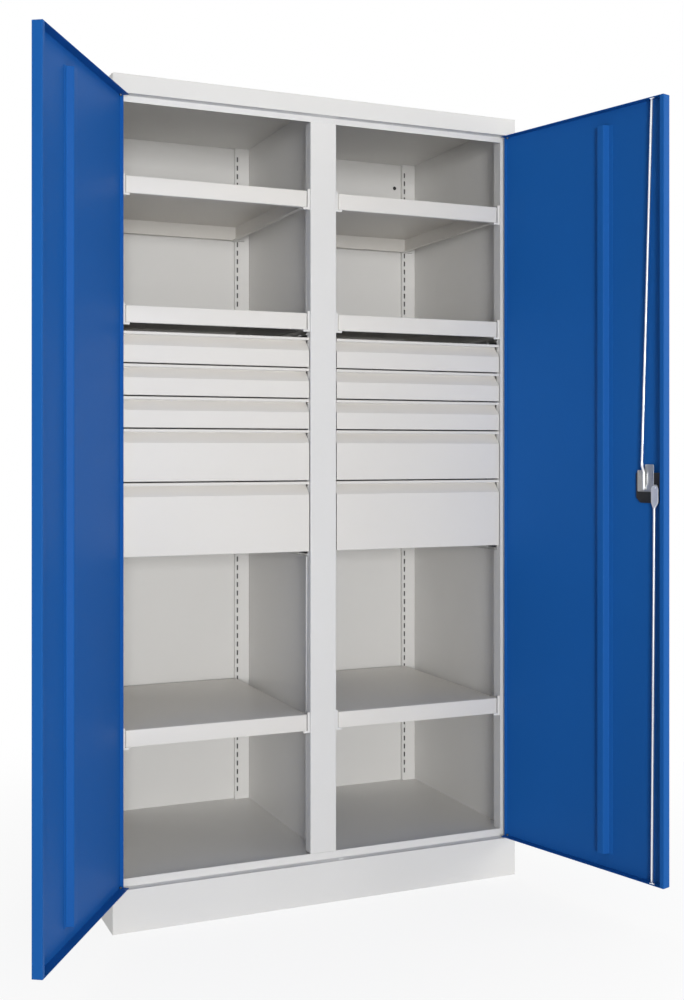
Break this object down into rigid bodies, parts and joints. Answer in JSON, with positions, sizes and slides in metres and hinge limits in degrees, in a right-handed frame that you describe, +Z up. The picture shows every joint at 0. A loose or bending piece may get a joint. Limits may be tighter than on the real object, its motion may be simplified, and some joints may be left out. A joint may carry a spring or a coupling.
{
  "type": "heavy-duty storage cabinet",
  "caption": "Tall two-door sheet-steel storage cabinet with a centre post, adjustable shelves, full-width drawers on roller slides and a rod lock on the right door.",
  "frame": {"origin": "on the floor under the middle of the carcass footprint", "axes": "+Z up, doors and drawers face -Y, +X to the right as one faces the cabinet"},
  "size_m": [1.4342, 1.0854, 1.95],
  "materials": {
    "carcass_grey": "satin light grey powder coat",
    "drawer_grey": "satin light grey powder coat",
    "door_blue": "satin gentian blue powder coat",
    "zinc_steel": "zinc plated",
    "rod_zinc": "bright zinc plated",
    "lock_black": "black moulded"
  },
  "bodies": {
    "carcass": {"roof_panel": "carcass_grey", "plinth": "carcass_grey", "left_side_panel": "carcass_grey", "right_side_panel": "carcass_grey", "back_panel": "carcass_grey", "floor_panel": "carcass_grey", "floor_bearer": "carcass_grey", "centre_post": "carcass_grey", "centre_partition": "carcass_grey", "slotted_strips": "carcass_grey", "shelf_clips": "carcass_grey", "slide_carriers": "zinc_steel", "carrier_screws": "zinc_steel", "drawer_rails": "zinc_steel", "door_pivot_pins": "zinc_steel", "left_shelf_1": "carcass_grey", "right_shelf_1": "carcass_grey", "left_shelf_2": "carcass_grey", "right_shelf_2": "carcass_grey", "left_shelf_3": "carcass_grey", "right_shelf_3": "carcass_grey"},
    "left_door": {"left_door_pan": "door_blue", "left_door_stiffener": "door_blue"},
    "right_door": {"right_door_pan": "door_blue", "right_door_stiffener": "door_blue", "lock_case": "lock_black"},
    "lock_crank": {"lock_crank": "zinc_steel", "lock_knob": "lock_black"},
    "upper_rod": {"upper_lock_rod": "rod_zinc"},
    "lower_rod": {"lower_lock_rod": "rod_zinc"},
    "left_drawer_1": {"left_drawer_1_front": "drawer_grey", "left_drawer_1_tray": "drawer_grey", "left_drawer_1_runners": "zinc_steel"},
    "left_drawer_2": {"left_drawer_2_front": "drawer_grey", "left_drawer_2_tray": "drawer_grey", "left_drawer_2_runners": "zinc_steel"},
    "left_drawer_3": {"left_drawer_3_front": "drawer_grey", "left_drawer_3_tray": "drawer_grey", "left_drawer_3_runners": "zinc_steel"},
    "left_drawer_4": {"left_drawer_4_front": "drawer_grey", "left_drawer_4_tray": "drawer_grey", "left_drawer_4_runners": "zinc_steel"},
    "left_drawer_5": {"left_drawer_5_front": "drawer_grey", "left_drawer_5_tray": "drawer_grey", "left_drawer_5_runners": "zinc_steel"},
    "right_drawer_1": {"right_drawer_1_front": "drawer_grey", "right_drawer_1_tray": "drawer_grey", "right_drawer_1_runners": "zinc_steel"},
    "right_drawer_2": {"right_drawer_2_front": "drawer_grey", "right_drawer_2_tray": "drawer_grey", "right_drawer_2_runners": "zinc_steel"},
    "right_drawer_3": {"right_drawer_3_front": "drawer_grey", "right_drawer_3_tray": "drawer_grey", "right_drawer_3_runners": "zinc_steel"},
    "right_drawer_4": {"right_drawer_4_front": "drawer_grey", "right_drawer_4_tray": "drawer_grey", "right_drawer_4_runners": "zinc_steel"},
    "right_drawer_5": {"right_drawer_5_front": "drawer_grey", "right_drawer_5_tray": "drawer_grey", "right_drawer_5_runners": "zinc_steel"}
  },
  "joints": [
    {"name": "left_door_hinge", "type": "hinge", "parent": "carcass", "child": "left_door", "pos_m": [-0.5055, -0.2955, 1.0025], "axis": [0, 0, -1], "range_deg": [-122.1, 2.9]},
    {"name": "right_door_hinge", "type": "hinge", "parent": "carcass", "child": "right_door", "pos_m": [0.5055, -0.2955, 1.0025], "axis": [0, 0, 1], "range_deg": [-105.5, 19.5]},
    {"name": "lock_turn", "type": "hinge", "parent": "right_door", "child": "lock_crank", "pos_m": [0.62366, -0.73542, 1.01], "axis": [0.9636, 0.2672, 0], "range_deg": [0, 90]},
    {"name": "upper_rod_pivot", "type": "hinge", "parent": "lock_crank", "child": "upper_rod", "pos_m": [0.61965, -0.72097, 1.01], "axis": [0.9636, 0.2672, 0], "range_deg": [-91.2, 0]},
    {"name": "lower_rod_pivot", "type": "hinge", "parent": "lock_crank", "child": "lower_rod", "pos_m": [0.62767, -0.74988, 1.01], "axis": [0.9636, 0.2672, 0], "range_deg": [-91.2, 0]},
    {"name": "left_drawer_1_slide", "type": "slide", "parent": "carcass", "child": "left_drawer_1", "axis": [0, -1, 0], "range_m": [0, 0.4]},
    {"name": "left_drawer_2_slide", "type": "slide", "parent": "carcass", "child": "left_drawer_2", "axis": [0, -1, 0], "range_m": [0, 0.4]},
    {"name": "left_drawer_3_slide", "type": "slide", "parent": "carcass", "child": "left_drawer_3", "axis": [0, -1, 0], "range_m": [0, 0.4]},
    {"name": "left_drawer_4_slide", "type": "slide", "parent": "carcass", "child": "left_drawer_4", "axis": [0, -1, 0], "range_m": [0, 0.4]},
    {"name": "left_drawer_5_slide", "type": "slide", "parent": "carcass", "child": "left_drawer_5", "axis": [0, -1, 0], "range_m": [0, 0.4]},
    {"name": "right_drawer_1_slide", "type": "slide", "parent": "carcass", "child": "right_drawer_1", "axis": [0, -1, 0], "range_m": [0, 0.4]},
    {"name": "right_drawer_2_slide", "type": "slide", "parent": "carcass", "child": "right_drawer_2", "axis": [0, -1, 0], "range_m": [0, 0.4]},
    {"name": "right_drawer_3_slide", "type": "slide", "parent": "carcass", "child": "right_drawer_3", "axis": [0, -1, 0], "range_m": [0, 0.4]},
    {"name": "right_drawer_4_slide", "type": "slide", "parent": "carcass", "child": "right_drawer_4", "axis": [0, -1, 0], "range_m": [0, 0.4]},
    {"name": "right_drawer_5_slide", "type": "slide", "parent": "carcass", "child": "right_drawer_5", "axis": [0, -1, 0], "range_m": [0, 0.4]}
  ],
  "couplings": [
    {"joint": "upper_rod_pivot", "follows": "lock_turn", "ratio": -1.0106},
    {"joint": "lower_rod_pivot", "follows": "lock_turn", "ratio": -1.0106}
  ]
}
